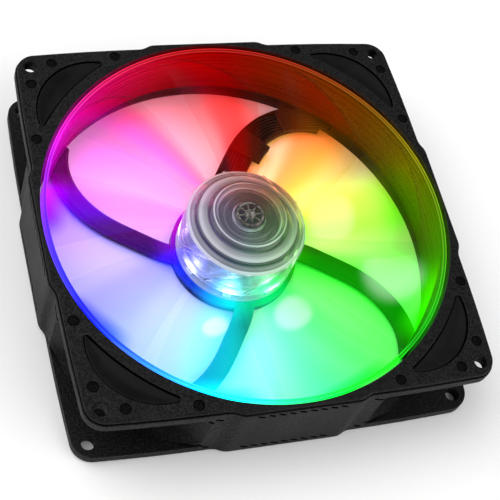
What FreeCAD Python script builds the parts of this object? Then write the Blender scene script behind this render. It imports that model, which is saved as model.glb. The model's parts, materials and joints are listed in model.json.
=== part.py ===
import FreeCAD, Part
import math
import os

# 140 mm case fan lying on its rear face.
# Origin: on the rotor axis, in the plane of the rear face. +Z: along the rotor axis to the front
# (intake) face. X and Y: parallel to the sides of the housing. All sizes are in millimetres.

V = FreeCAD.Vector
ORIGIN = V(0, 0, 0)
UP = V(0, 0, 1)

# ---- Housing --------------------------------------------------------------------------------
SIZE = 140.0                # side of the square that the housing fills
DEPTH = 29.0                # front face to rear face
HOLE_PITCH = 124.5          # screw pitch of a 140 mm fan
HOLE_RADIUS = 2.15
HOLE_CHAMFER = 0.35
FLAT_HALF = 18.0            # half length of the straight middle of a side
RAMP_END = 24.0             # where the step from the middle down to a corner lobe ends
LOBE_HALF = 68.4            # half width across the lobes beside the step
LOBE_CORNER_HALF = 67.4     # half width across the lobes at the corners
CORNER_RADIUS = 7.0
SHOULDER_INSET = 0.5        # the front shoulder stands in from the lip by this much
SHOULDER_Z = 27.3
EDGE_ROUND = 0.6
SHOULDER_ROUND = 0.5
GROOVE_DEPTH = 0.6          # fine groove under the front shoulder of each lobe
GROOVE_HEIGHT = 0.4

FRONT_FLANGE = 4.8
REAR_FLANGE = 3.8
HOLLOW_START = 28.0         # distance from the middle of a side where a corner hollow starts
HOLLOW_WALL_RADIUS = 70.7   # outside of the duct wall on the diagonal
HOLLOW_ROUND = 4.0

BORE_RADIUS = 68.6          # duct
MOUTH_RADIUS = 71.2         # intake flare on the diagonals
MOUTH_HALF = 68.75          # the flare is cut off here in the middle of each side
MOUTH_DEPTH = 6.5
EXIT_CHAMFER = 0.4
EXIT_DEPTH = 2.0

# ---- Crescent pads in the corners -----------------------------------------------------------
PAD_INNER_RADIUS = 72.6
PAD_ARC_CENTRE = 59.7       # along the diagonal
PAD_ARC_RADIUS = 20.9
PAD_POCKET_DEPTH = 2.2
PAD_THICKNESS = 1.9
PAD_GAP = 0.35
PAD_TIP_ROUND = 0.8
PAD_DISH_DEPTH = 0.7
PAD_DISH_RADIUS = 60.0

# ---- Round dimples in the flange faces, given for one corner and mirrored into the others --------
DIMPLE_RADIUS = 1.9
DIMPLE_DEPTH = 0.3
DIMPLE_FAR = (65.0, 33.0)
DIMPLE_NEAR = (63.2, 55.0)

# ---- Slanted grooves on the side walls ------------------------------------------------------
DASH_LENGTH = 3.0
DASH_WIDTH = 1.0
DASH_DEPTH = 0.5
DASH_PITCH = 3.4
DASH_TILT = 28.0
DASH_COUNT = 9
DASH_LOW_Z = 3.0
DASH_HIGH_Z = 25.6
LOBE_DASH_COUNT = 3

# ---- Rear struts and motor base -------------------------------------------------------------
STRUT_TOP = 4.6
STRUT_BOTTOM = 0.4
STRUT_WIDTH = 6.4
CABLE_STRUT_WIDTH = 9.8
STRUT_CHAMFER = 1.0
STRUT_REACH = 70.0          # the struts end inside the duct wall
# centre line of the strut that leaves the hub to the left: (radius, angle in degrees)
STRUT_PATH = ((13.0, 181.0), (21.0, 177.5), (33.0, 167.0), (46.0, 160.0), (58.0, 152.0),
              (69.5, 138.0))

BASE_RADIUS = 21.8
BASE_RIM_INNER = 20.6
BASE_RIM_TOP = 5.0
BASE_FLOOR = 2.6
BASE_BOTTOM = 0.4
LEDGE_INNER = 19.4
LEDGE_TOP = 4.4
TUBE_BOSS_RADIUS = 5.2
BOARD_Z = 3.8
LABEL_RADIUS = 20.0
LABEL_THICKNESS = 0.15

# ---- Leads and socket -----------------------------------------------------------------------
LEAD_RADIUS = 0.5
LEAD_PITCH = 1.15
MOTOR_LEAD_COUNT = 4
LED_LEAD_COUNT = 3
LEAD_Z = 3.15
LEAD_END_Z = 5.2
LEAD_RISE_START = 0.84      # share of the lead's run
CHANNEL_WIDTH = 8.4
SOCKET_BACK_X = 54.0
CABLE_OVERRUN = 2.0         # the cable's centre line ends this far inside the socket
SOCKET_LENGTH = 7.0
SOCKET_WIDTH = 11.0
SOCKET_HEIGHT = 6.6
SOCKET_FLOOR = 3.2
SOCKET_WALL = 0.8
PIN_Z = 5.7
PIN_WIDTH = 0.5
PIN_LENGTH = 4.6

# ---- Bearing and shaft ----------------------------------------------------------------------
SHAFT_RADIUS = 1.5
SHAFT_BOTTOM = 1.85
SHAFT_TOP = 23.5
BEARING_CLEARANCE = 0.03
BEARING_OUTER = 3.0
BEARING_BOTTOM = 3.6
BEARING_TOP = 15.6
TUBE_RADIUS = 4.0
TUBE_BOTTOM = 1.2
TUBE_TOP = 16.6
THRUST_THICKNESS = 0.6
CLIP_GROOVE_RADIUS = 1.1
CLIP_GROOVE_Z = 2.5
CLIP_GROOVE_HEIGHT = 0.8
CLIP_INNER = 1.2
CLIP_OUTER = 2.9
CLIP_THICKNESS = 0.4

# ---- Stator ---------------------------------------------------------------------------------
CORE_BOTTOM = 6.9
CORE_TOP = 12.9
CORE_RING_RADIUS = 6.0
ARM_WIDTH = 3.0
SHOE_INNER = 11.6
SHOE_OUTER = 13.2
SHOE_HALF_ANGLE = 38.0
INSULATOR_THICKNESS = 0.8
COIL_START = 6.6
COIL_END = 10.8
COIL_SIDE = 2.2
COIL_COVER = 1.1

# ---- Boards ---------------------------------------------------------------------------------
BOARD_THICKNESS = 1.0
BOARD_RADIUS = 16.6
LED_BOARD_INNER = 16.9
LED_BOARD_OUTER = 20.4
LED_COUNT = 8
LED_FIRST_ANGLE = 22.5
LED_SIZE = 2.8
LED_HEIGHT = 1.0
LED_CIRCLE = 18.65

# ---- Rotor ----------------------------------------------------------------------------------
MAGNET_INNER = 13.6
MAGNET_OUTER = 15.6
MAGNET_BOTTOM = 6.3
MAGNET_TOP = 15.9
YOKE_OUTER = 16.6
YOKE_TOP = 18.4
YOKE_PLATE = 1.0
BUSH_RADIUS = 3.2
BUSH_COLLAR_RADIUS = 4.5
BUSH_COLLAR_Z = (19.4, 22.4)
BUSH_KNURLS = 12

HUB_RADIUS = 20.3
HUB_BOTTOM = 8.8
HUB_SHOULDER = 21.9
HUB_TOP = 27.2
RING_OUTER = 67.6
RING_INNER = 66.4
RING_BOTTOM = 8.4
RING_TOP = 28.2
RING_LIP = 0.5
BLADE_COUNT = 9
# station radius, chord, pitch angle, camber height, sweep along the turning direction, mid height
BLADE_STATIONS = (
    (14.0, 16.5, 46.0, 1.4, -0.5, 14.9),
    (28.0, 24.5, 37.0, 2.0, 0.6, 16.2),
    (42.0, 33.0, 30.0, 2.5, 3.2, 17.4),
    (56.0, 41.0, 25.5, 2.7, 7.2, 18.1),
    (71.0, 49.5, 22.0, 2.7, 12.5, 18.2),
)
BLADE_THICKNESS = 1.5
BLADE_EDGE = 0.7

FLOOR_CLEARANCE = 1.0       # how far cutting tools run past the face that they cut


# ---- Shape helpers --------------------------------------------------------------------------
def polar(radius, degrees, z=0.0):
    a = math.radians(degrees)
    return V(radius * math.cos(a), radius * math.sin(a), z)


def turned(shape, degrees):
    copy = shape.copy()
    copy.rotate(ORIGIN, UP, degrees)
    return copy


def around(shape, count, first=0.0):
    return [turned(shape, first + i * 360.0 / count) for i in range(count)]


def disc(radius, bottom, top):
    return Part.makeCylinder(radius, top - bottom, V(0, 0, bottom))


def ring(inner, outer, bottom, top):
    return disc(outer, bottom, top).cut(disc(inner, bottom - FLOOR_CLEARANCE, top + FLOOR_CLEARANCE))


def block(centre_x, centre_y, size_x, size_y, bottom, top):
    corner = V(centre_x - size_x / 2, centre_y - size_y / 2, bottom)
    return Part.makeBox(size_x, size_y, top - bottom, corner)


def prism(wire, bottom, top):
    face = Part.Face(wire)
    face.translate(V(0, 0, bottom))
    return face.extrude(V(0, 0, top - bottom))


def turned_profile(points):
    """Solid of revolution about Z from (radius, height) points."""
    corners = [V(r, 0, z) for r, z in points]
    wire = Part.makePolygon(corners + corners[:1])
    return Part.Face(wire).revolve(ORIGIN, UP, 360)


def fuse(shapes):
    return shapes[0].multiFuse(shapes[1:])


def arc(start, middle, end):
    return Part.Arc(start, middle, end).toShape()


def edges_at(shape, z, tolerance=1e-4):
    """Edges that lie wholly in the plane at height z."""
    return [e for e in shape.Edges
            if abs(e.BoundBox.ZMin - z) < tolerance and abs(e.BoundBox.ZMax - z) < tolerance]


def save(name, shape):
    solids = shape.Solids
    result = solids[0] if len(solids) == 1 else Part.makeCompound(solids)
    result.exportStep("parts/" + name + ".step")


# ---- Housing --------------------------------------------------------------------------------
def outline_wire(inset):
    """Plan outline: straight middles, S-shaped steps, bowed corner lobes, round corners."""
    flat_y = SIZE / 2 - inset
    lobe_y = LOBE_HALF - inset
    end_y = LOBE_CORNER_HALF - inset
    corner_radius = CORNER_RADIUS - inset
    corner_start = end_y - corner_radius
    step_x = (RAMP_END - FLAT_HALF) / 2
    step_y = (flat_y - lobe_y) / 2
    step_radius = (step_x ** 2 + step_y ** 2) / (2 * step_y)
    half_turn = math.asin(step_x / step_radius) / 2
    rise = step_radius * (1 - math.cos(half_turn))
    run = step_radius * math.sin(half_turn)

    flat_end = V(FLAT_HALF, flat_y, 0)
    step_middle = V(FLAT_HALF + step_x, flat_y - step_y, 0)
    lobe_start = V(RAMP_END, lobe_y, 0)
    lobe_end = V(corner_start, end_y, 0)
    lobe_middle = V((RAMP_END + corner_start) / 2, lobe_y - (lobe_y - end_y) / 4, 0)
    corner_end = V(end_y, corner_start, 0)
    diagonal = corner_radius / math.sqrt(2)
    corner_middle = V(corner_start + diagonal, corner_start + diagonal, 0)

    right_half = [
        arc(flat_end, V(FLAT_HALF + run, flat_y - rise, 0), step_middle),
        arc(step_middle, V(RAMP_END - run, lobe_y + rise, 0), lobe_start),
        arc(lobe_start, lobe_middle, lobe_end),
        arc(lobe_end, corner_middle, corner_end),
    ]
    half_sides = right_half[:3]
    mirrored = [e.mirror(ORIGIN, V(1, 0, 0)) for e in half_sides]
    flat = Part.makeLine(V(-FLAT_HALF, flat_y, 0), flat_end)
    side = right_half + mirrored + [flat]
    edges = []
    for angle in (0, 90, 180, 270):
        edges.extend(turned(e, angle) for e in side)
    return Part.Wire(Part.__sortEdges__(edges))


def housing_block():
    """Full-depth block with rounded rear edge, lip and front shoulder."""
    lower = prism(outline_wire(0.0), 0.0, SHOULDER_Z)
    lower = lower.makeFillet(EDGE_ROUND, edges_at(lower, 0.0))
    lower = lower.makeFillet(EDGE_ROUND / 2, edges_at(lower, SHOULDER_Z))
    upper = prism(outline_wire(SHOULDER_INSET), SHOULDER_Z - 3.0, DEPTH)
    upper = upper.makeFillet(SHOULDER_ROUND, edges_at(upper, DEPTH))
    return lower.fuse(upper).cut(Part.makeCompound(shoulder_grooves()))


def shoulder_grooves():
    outside = prism(outline_wire(-1.0), SHOULDER_Z, SHOULDER_Z + GROOVE_HEIGHT)
    inside = prism(outline_wire(SHOULDER_INSET + GROOVE_DEPTH), SHOULDER_Z - FLOOR_CLEARANCE,
                   SHOULDER_Z + GROOVE_HEIGHT + FLOOR_CLEARANCE)
    groove = outside.cut(inside)
    reach = SIZE / 2 + 5 - RAMP_END
    corner = Part.makeBox(reach, reach, DEPTH, V(RAMP_END, RAMP_END, 0))
    return [groove.common(turned(corner, a)) for a in (0, 90, 180, 270)]


def corner_hollow():
    """Tool for the open space between the flanges at the +X+Y corner."""
    start = V(HOLLOW_START, LOBE_HALF, 0)
    middle = polar(HOLLOW_WALL_RADIUS, 45)
    end = V(LOBE_HALF, HOLLOW_START, 0)
    far = SIZE / 2 + 15
    lead_in = 3.0           # carries the wall line past the outside of the housing
    first = start - V(lead_in * 3, -lead_in, 0)
    last = end - V(-lead_in, lead_in * 3, 0)
    wire = Part.Wire([
        Part.makeLine(first, start), arc(start, middle, end), Part.makeLine(end, last),
        Part.makeLine(last, V(far, last.y, 0)), Part.makeLine(V(far, last.y, 0), V(far, far, 0)),
        Part.makeLine(V(far, far, 0), V(first.x, far, 0)), Part.makeLine(V(first.x, far, 0), first),
    ])
    tool = prism(wire, REAR_FLANGE, DEPTH - FRONT_FLANGE)
    wall_edges = [e for e in edges_at(tool, REAR_FLANGE) + edges_at(tool, DEPTH - FRONT_FLANGE)
                  if e.CenterOfMass.Length < far and isinstance(e.Curve, Part.Circle)]
    return tool.makeFillet(HOLLOW_ROUND, wall_edges)


def duct_bore():
    """Straight bore with an exit chamfer."""
    over = FLOOR_CLEARANCE
    return turned_profile([
        (0, -over), (BORE_RADIUS + EXIT_CHAMFER, -over), (BORE_RADIUS + EXIT_CHAMFER, 0),
        (BORE_RADIUS, EXIT_DEPTH), (BORE_RADIUS, DEPTH + over), (0, DEPTH + over)])


def duct_mouth():
    """Intake flare, cut off beside the four sides."""
    over = FLOOR_CLEARANCE
    start = V(BORE_RADIUS - 0.5, 0, DEPTH - MOUTH_DEPTH)
    bend = V(BORE_RADIUS + 0.5, 0, DEPTH - MOUTH_DEPTH * 0.35)
    edge = V(MOUTH_RADIUS, 0, DEPTH)
    top = V(MOUTH_RADIUS, 0, DEPTH + over)
    axis_top = V(0, 0, DEPTH + over)
    axis_low = V(0, 0, DEPTH - MOUTH_DEPTH)
    wire = Part.Wire([
        arc(start, bend, edge), Part.makeLine(edge, top), Part.makeLine(top, axis_top),
        Part.makeLine(axis_top, axis_low), Part.makeLine(axis_low, start)])
    flare = Part.Face(wire).revolve(ORIGIN, UP, 360)
    return flare.common(block(0, 0, 2 * MOUTH_HALF, 2 * MOUTH_HALF, 0, DEPTH + 2 * over))


def crescent(grow, bottom, top):
    """Crescent beside the intake on the +X+Y diagonal, grown outwards on every side."""
    centre = polar(PAD_ARC_CENTRE, 45)
    outer = Part.makeCylinder(PAD_ARC_RADIUS + grow, top - bottom, V(centre.x, centre.y, bottom))
    shape = outer.cut(disc(PAD_INNER_RADIUS - grow, bottom - FLOOR_CLEARANCE, top + FLOOR_CLEARANCE))
    tips = [e for e in shape.Edges
            if isinstance(e.Curve, Part.Line) and abs(e.Length - (top - bottom)) < 1e-6
            and abs(math.degrees(math.atan2(e.CenterOfMass.y, e.CenterOfMass.x)) - 45) > 5]
    return shape.makeFillet(PAD_TIP_ROUND + grow, tips)


def front_pad():
    """Soft crescent with a shallow dish in its face."""
    top = DEPTH - (PAD_POCKET_DEPTH - PAD_THICKNESS)
    pad = crescent(0.0, DEPTH - PAD_POCKET_DEPTH, top)
    middle = polar((PAD_INNER_RADIUS + PAD_ARC_CENTRE + PAD_ARC_RADIUS) / 2, 45)
    ball = Part.makeSphere(PAD_DISH_RADIUS, V(middle.x, middle.y, top + PAD_DISH_RADIUS - PAD_DISH_DEPTH))
    return pad.cut(ball)


def rear_pad():
    return front_pad().mirror(V(0, 0, DEPTH / 2), UP)


def pad_pockets():
    over = FLOOR_CLEARANCE
    front = crescent(PAD_GAP, DEPTH - PAD_POCKET_DEPTH, DEPTH + over)
    rear = crescent(PAD_GAP, -over, PAD_POCKET_DEPTH)
    return around(front, 4) + around(rear, 4)


def screw_holes():
    tools = []
    reach = HOLE_PITCH / 2
    bore = Part.makeCylinder(HOLE_RADIUS, DEPTH + 2, V(reach, reach, -1))
    mouth_radius = HOLE_RADIUS + HOLE_CHAMFER
    faces = (0, REAR_FLANGE, DEPTH - FRONT_FLANGE, DEPTH)
    directions = (1, -1, 1, -1)
    for z, inward in zip(faces, directions):
        cone = Part.makeCone(mouth_radius, HOLE_RADIUS, HOLE_CHAMFER, V(reach, reach, z),
                             V(0, 0, inward))
        tools.append(cone)
    tools.append(bore)
    return around(tools[0].multiFuse(tools[1:]), 4)


def dimples():
    tools = []
    (far_x, far_y), (near_x, near_y) = DIMPLE_FAR, DIMPLE_NEAR
    for x, y in ((far_x, far_y), (near_x, near_y), (far_y, far_x), (near_y, near_x)):
        for z in (DEPTH - DIMPLE_DEPTH, -FLOOR_CLEARANCE):
            height = DIMPLE_DEPTH + FLOOR_CLEARANCE
            tools.append(Part.makeCylinder(DIMPLE_RADIUS, height, V(x, y, z)))
    return around(Part.makeCompound(tools), 4)


def dash(x, depth_y, z, tilt):
    """One slanted groove in the +Y side wall."""
    bar = Part.makeBox(DASH_LENGTH, 2.0, DASH_WIDTH, V(-DASH_LENGTH / 2, 0, -DASH_WIDTH / 2))
    bar.rotate(ORIGIN, V(0, 1, 0), -tilt)
    bar.translate(V(x, depth_y, z))
    return bar


def side_dashes():
    """Two rows on the straight middle and short groups on the lobes, on all four sides."""
    middle = []
    face = SIZE / 2 - DASH_DEPTH
    first = -(DASH_COUNT - 1) / 2 * DASH_PITCH
    for i in range(DASH_COUNT):
        for z in (DASH_LOW_Z, DASH_HIGH_Z):
            middle.append(dash(first + i * DASH_PITCH, face, z, DASH_TILT))
    lobe_face = LOBE_HALF - DASH_DEPTH
    for sign in (-1, 1):
        for i in range(LOBE_DASH_COUNT):
            x = sign * (RAMP_END + 2.0 + i * DASH_PITCH * 0.8)
            for z in (DASH_LOW_Z + 2.0 * i, DASH_HIGH_Z - 2.0 - 1.2 * i):
                middle.append(dash(x, lobe_face - 0.02 * i, z, DASH_TILT))
    return around(Part.makeCompound(middle), 4)


# ---- Struts and motor base ------------------------------------------------------------------
def strut_curve():
    curve = Part.BSplineCurve()
    curve.interpolate([polar(r, a) for r, a in STRUT_PATH])
    return curve


def offset_path(curve, offset, start, end, samples=14, height=lambda t: 0.0):
    """Spline that runs beside the strut's centre line at a constant distance."""
    points = []
    for i in range(samples + 1):
        t = start + (end - start) * i / samples
        side = UP.cross(curve.tangent(t)[0])
        points.append(curve.value(t) + side * offset + V(0, 0, height(t)))
    path = Part.BSplineCurve()
    path.interpolate(points)
    return path


def strip(curve, width, start, end, bottom, top):
    left = offset_path(curve, width / 2, start, end)
    right = offset_path(curve, -width / 2, start, end)
    wire = Part.Wire([
        left.toShape(), Part.makeLine(left.EndPoint, right.EndPoint),
        Part.Wire([right.toShape()]).Edges[0], Part.makeLine(right.StartPoint, left.StartPoint)])
    return prism(wire, bottom, top)


def strut(width):
    curve = strut_curve()
    start = curve.parameter(polar(*STRUT_PATH[1]))
    end = curve.LastParameter
    bar = strip(curve, width, start, end, STRUT_BOTTOM, STRUT_TOP)
    long_edges = [e for e in edges_at(bar, STRUT_TOP) + edges_at(bar, STRUT_BOTTOM)
                  if e.Length > 2 * width]
    return bar.makeChamfer(STRUT_CHAMFER, long_edges)


def cable_curve():
    """Centre line of the cable strut, carried on to the lead socket."""
    points = [turned(Part.Vertex(polar(r, a)), -90).Point for r, a in STRUT_PATH]
    curve = Part.BSplineCurve()
    curve.interpolate(points + [V(SOCKET_BACK_X + CABLE_OVERRUN, points[-1].y + 0.2, 0)])
    return curve


def lead_height(t):
    """Leads lie in the channel and rise to the socket once they are through the duct wall."""
    curve = cable_curve()
    rise_start = LEAD_RISE_START * curve.LastParameter
    share = min(1.0, max(0.0, (t - rise_start) / (curve.LastParameter - rise_start)))
    smooth = share * share * (3 - 2 * share)
    return LEAD_Z + (LEAD_END_Z - LEAD_Z) * smooth


def cable_start(radius):
    """Parameter of the cable curve at a given distance from the rotor axis."""
    curve = cable_curve()
    low, high = curve.FirstParameter, curve.LastParameter
    for _ in range(40):
        middle = (low + high) / 2
        if curve.value(middle).Length < radius:
            low = middle
        else:
            high = middle
    return low


def cable_channel():
    curve = cable_curve()
    return strip(curve, CHANNEL_WIDTH, cable_start(17.5), curve.LastParameter, BASE_FLOOR,
                 BASE_RIM_TOP + FLOOR_CLEARANCE)


def cable_tabs():
    """Two moulded tabs that hold the leads down, and the wide guard beside the first."""
    curve = cable_curve()
    tabs = []
    for radius, length in ((41.0, 9.0), (60.0, 4.0)):
        start = cable_start(radius)
        end = cable_start(radius + length)
        cover = strip(curve, CABLE_STRUT_WIDTH - 0.6, start, end, LEAD_Z + LEAD_RADIUS + 0.15, STRUT_TOP)
        tabs.append(cover)
    start = cable_start(42.0)
    end = cable_start(50.0)
    left = offset_path(curve, -CHANNEL_WIDTH / 2 - 0.1, start, end, 6)
    right = offset_path(curve, -CABLE_STRUT_WIDTH / 2 - 2.6, start, end, 6)
    wire = Part.Wire([
        left.toShape(), Part.makeLine(left.EndPoint, right.EndPoint),
        Part.Wire([right.toShape()]).Edges[0], Part.makeLine(right.StartPoint, left.StartPoint)])
    tabs.append(prism(wire, STRUT_BOTTOM + 1.2, STRUT_TOP))
    return tabs


def motor_base():
    cup = turned_profile([
        (0, BASE_BOTTOM), (LABEL_RADIUS + 0.3, BASE_BOTTOM), (LABEL_RADIUS + 0.3, 0.0),
        (BASE_RADIUS - 0.4, 0.0), (BASE_RADIUS, 0.4), (BASE_RADIUS, BASE_RIM_TOP - 0.4),
        (BASE_RADIUS - 0.4, BASE_RIM_TOP), (BASE_RIM_INNER, BASE_RIM_TOP), (BASE_RIM_INNER, LEDGE_TOP),
        (LEDGE_INNER, LEDGE_TOP), (LEDGE_INNER, BASE_FLOOR), (TUBE_BOSS_RADIUS, BASE_FLOOR),
        (TUBE_BOSS_RADIUS, BOARD_Z), (TUBE_RADIUS, BOARD_Z), (TUBE_RADIUS, TUBE_BOTTOM),
        (0, TUBE_BOTTOM)])
    return cup


def socket_seat():
    y = socket_centre_y()
    return block(SOCKET_BACK_X + SOCKET_LENGTH / 2, y, SOCKET_LENGTH + 0.1, SOCKET_WIDTH + 0.1,
                 SOCKET_FLOOR, SOCKET_FLOOR + SOCKET_HEIGHT + 0.1)


def socket_centre_y():
    return cable_curve().EndPoint.y


def frame():
    body = housing_block()
    body = body.cut(duct_bore())
    body = body.cut(duct_mouth())
    body = body.cut(Part.makeCompound(around(corner_hollow(), 4)))
    body = body.cut(Part.makeCompound(pad_pockets()))
    body = body.cut(Part.makeCompound(screw_holes()))
    body = body.cut(Part.makeCompound(dimples()))
    body = body.cut(Part.makeCompound(side_dashes()))
    plain = strut(STRUT_WIDTH)
    struts = [turned(plain, a) for a in (0, 90, 180)] + [turned(strut(CABLE_STRUT_WIDTH), -90)]
    cup = motor_base()
    cup_space = disc(BASE_RIM_INNER, BASE_FLOOR, BASE_RIM_TOP + FLOOR_CLEARANCE)
    reach = disc(STRUT_REACH, 0, BASE_RIM_TOP)
    struts = [s.cut(cup_space).common(reach) for s in struts]
    body = fuse([body, cup] + struts)
    body = body.cut(cable_channel())
    body = body.cut(socket_seat())
    return fuse([body] + cable_tabs())


# ---- Leads and socket -----------------------------------------------------------------------
def leads(first, count, start_radius):
    curve = cable_curve()
    total = MOTOR_LEAD_COUNT + LED_LEAD_COUNT
    start = cable_start(start_radius)
    solids = []
    for i in range(first, first + count):
        offset = (i - (total - 1) / 2) * LEAD_PITCH
        path = offset_path(curve, offset, start, curve.LastParameter, 16, lead_height)
        section = Part.Circle(path.StartPoint, path.tangent(path.FirstParameter)[0], LEAD_RADIUS)
        pipe = Part.BRepOffsetAPI.MakePipeShell(Part.Wire([path.toShape()]))
        pipe.setBiNormalMode(UP)
        pipe.add(Part.Wire([section.toShape()]))
        pipe.build()
        pipe.makeSolid()
        solids.append(pipe.shape().cut(beyond_socket_back()))
    return Part.makeCompound(solids)


def beyond_socket_back():
    return block(SOCKET_BACK_X + SIZE / 2, 0, SIZE, SIZE, 0, DEPTH)


def lead_socket():
    """Header shroud that is open towards +X, with a closed back that the pins pass through."""
    y = socket_centre_y()
    middle_x = SOCKET_BACK_X + SOCKET_LENGTH / 2
    top = SOCKET_FLOOR + SOCKET_HEIGHT
    shell = block(middle_x, y, SOCKET_LENGTH, SOCKET_WIDTH, SOCKET_FLOOR, top)
    hollow = block(middle_x + 1.5, y, SOCKET_LENGTH, SOCKET_WIDTH - 2 * SOCKET_WALL,
                   SOCKET_FLOOR + SOCKET_WALL, top - SOCKET_WALL)
    key = block(middle_x + 1.5, y, SOCKET_LENGTH, 3.0, top - SOCKET_WALL - 0.1, top + 1)
    return shell.cut(hollow).cut(key).cut(socket_pins())


def socket_pins():
    y = socket_centre_y()
    total = MOTOR_LEAD_COUNT + LED_LEAD_COUNT
    pins = []
    for i in range(total):
        pin_y = y + (i - (total - 1) / 2) * LEAD_PITCH
        pins.append(block(SOCKET_BACK_X + 0.6 + PIN_LENGTH / 2, pin_y, PIN_LENGTH, PIN_WIDTH,
                          PIN_Z - PIN_WIDTH / 2, PIN_Z + PIN_WIDTH / 2))
    return Part.makeCompound(pins)


# ---- Bearing and shaft ----------------------------------------------------------------------
def bearing_tube():
    return ring(BEARING_OUTER, TUBE_RADIUS, TUBE_BOTTOM, TUBE_TOP)


def sleeve_bearing():
    return ring(SHAFT_RADIUS + BEARING_CLEARANCE, BEARING_OUTER, BEARING_BOTTOM, BEARING_TOP)


def oil_seal():
    return ring(SHAFT_RADIUS + 0.15, BEARING_OUTER, BEARING_TOP + 0.1, BEARING_TOP + 0.8)


def thrust_plate():
    return disc(BEARING_OUTER - 0.05, TUBE_BOTTOM, TUBE_BOTTOM + THRUST_THICKNESS)


def retaining_ring():
    bottom = CLIP_GROOVE_Z + (CLIP_GROOVE_HEIGHT - CLIP_THICKNESS) / 2
    whole = ring(CLIP_INNER, CLIP_OUTER, bottom, bottom + CLIP_THICKNESS)
    return whole.cut(block(CLIP_OUTER, 0, 2 * CLIP_OUTER, 0.8, bottom - 1, bottom + 2))


def shaft():
    body = disc(SHAFT_RADIUS, SHAFT_BOTTOM, SHAFT_TOP)
    body = body.makeFillet(0.5, edges_at(body, SHAFT_BOTTOM))
    groove = ring(CLIP_GROOVE_RADIUS, SHAFT_RADIUS + 1, CLIP_GROOVE_Z, CLIP_GROOVE_Z + CLIP_GROOVE_HEIGHT)
    return body.cut(groove)


# ---- Stator ---------------------------------------------------------------------------------
def stator_arms(bottom, top, arm_width, ring_radius, shoe_inner, shoe_outer):
    arm_length = shoe_inner + 0.5 - TUBE_RADIUS
    arm = block(TUBE_RADIUS + arm_length / 2, 0, arm_length, arm_width, bottom, top)
    shoe = ring(shoe_inner, shoe_outer, bottom, top)
    wedge = Part.makeCylinder(shoe_outer + 1, top - bottom, V(0, 0, bottom), UP, 2 * SHOE_HALF_ANGLE)
    shoe = shoe.common(turned(wedge, -SHOE_HALF_ANGLE))
    hub = disc(ring_radius, bottom, top)
    whole = fuse([hub] + around(arm, 4) + around(shoe, 4))
    return whole.cut(disc(TUBE_RADIUS, bottom - 1, top + 1))


def stator_core():
    return stator_arms(CORE_BOTTOM, CORE_TOP, ARM_WIDTH, CORE_RING_RADIUS, SHOE_INNER, SHOE_OUTER)


def lower_insulator():
    collar = ring(TUBE_RADIUS, TUBE_BOSS_RADIUS, BOARD_Z + BOARD_THICKNESS, CORE_BOTTOM)
    cover = stator_arms(CORE_BOTTOM - INSULATOR_THICKNESS, CORE_BOTTOM, ARM_WIDTH, CORE_RING_RADIUS,
                        SHOE_INNER, SHOE_OUTER - 0.4)
    return fuse([collar, cover])


def upper_insulator():
    collar = ring(TUBE_RADIUS, TUBE_BOSS_RADIUS, CORE_TOP, CORE_TOP + 2.1)
    cover = stator_arms(CORE_TOP, CORE_TOP + INSULATOR_THICKNESS, ARM_WIDTH, CORE_RING_RADIUS,
                        SHOE_INNER, SHOE_OUTER - 0.4)
    return fuse([collar, cover])


def coil():
    """Winding around the +X stator arm, with rounded outer corners."""
    middle = (COIL_START + COIL_END) / 2
    length = COIL_END - COIL_START
    bottom = CORE_BOTTOM - INSULATOR_THICKNESS
    top = CORE_TOP + INSULATOR_THICKNESS
    outer = block(middle, 0, length, ARM_WIDTH + 2 * COIL_SIDE, bottom - COIL_COVER, top + COIL_COVER)
    long_edges = [e for e in outer.Edges if abs(e.Length - length) < 1e-6]
    outer = outer.makeFillet(0.9, long_edges)
    inner = block(middle, 0, length + 2, ARM_WIDTH, bottom, top)
    return outer.cut(inner)


# ---- Boards ---------------------------------------------------------------------------------
def motor_board():
    return ring(TUBE_RADIUS + 0.2, BOARD_RADIUS, BOARD_Z, BOARD_Z + BOARD_THICKNESS)


def on_board(radius, angle, length, width, height):
    top = BOARD_Z + BOARD_THICKNESS
    return turned(block(radius, 0, length, width, top, top + height), angle)


def hall_sensor():
    return on_board(14.6, 45, 1.6, 3.0, 1.1)


def driver_chip():
    return on_board(12.0, 135, 4.0, 5.0, 1.2)


def capacitors():
    return Part.makeCompound([on_board(12.0, 225, 1.3, 2.0, 1.0), on_board(12.0, 315, 1.3, 2.0, 1.0)])


def led_board():
    return ring(LED_BOARD_INNER, LED_BOARD_OUTER, LEDGE_TOP, LEDGE_TOP + BOARD_THICKNESS)


def leds():
    """Eight packages with a domed-in recess on top."""
    bottom = LEDGE_TOP + BOARD_THICKNESS
    top = bottom + LED_HEIGHT
    package = block(LED_CIRCLE, 0, LED_SIZE, LED_SIZE, bottom, top)
    recess = Part.makeCone(LED_SIZE * 0.3, LED_SIZE * 0.4, 0.3, V(LED_CIRCLE, 0, top - 0.3))
    return Part.makeCompound(around(package.cut(recess), LED_COUNT, LED_FIRST_ANGLE))


def rear_label():
    return disc(LABEL_RADIUS, BASE_BOTTOM - LABEL_THICKNESS, BASE_BOTTOM)


# ---- Rotor ----------------------------------------------------------------------------------
def magnet_ring():
    return ring(MAGNET_INNER, MAGNET_OUTER, MAGNET_BOTTOM, MAGNET_TOP)


def rotor_yoke():
    return turned_profile([
        (MAGNET_OUTER, MAGNET_BOTTOM), (YOKE_OUTER, MAGNET_BOTTOM), (YOKE_OUTER, YOKE_TOP),
        (BUSH_RADIUS, YOKE_TOP), (BUSH_RADIUS, YOKE_TOP - YOKE_PLATE),
        (MAGNET_OUTER, YOKE_TOP - YOKE_PLATE)])


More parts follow.
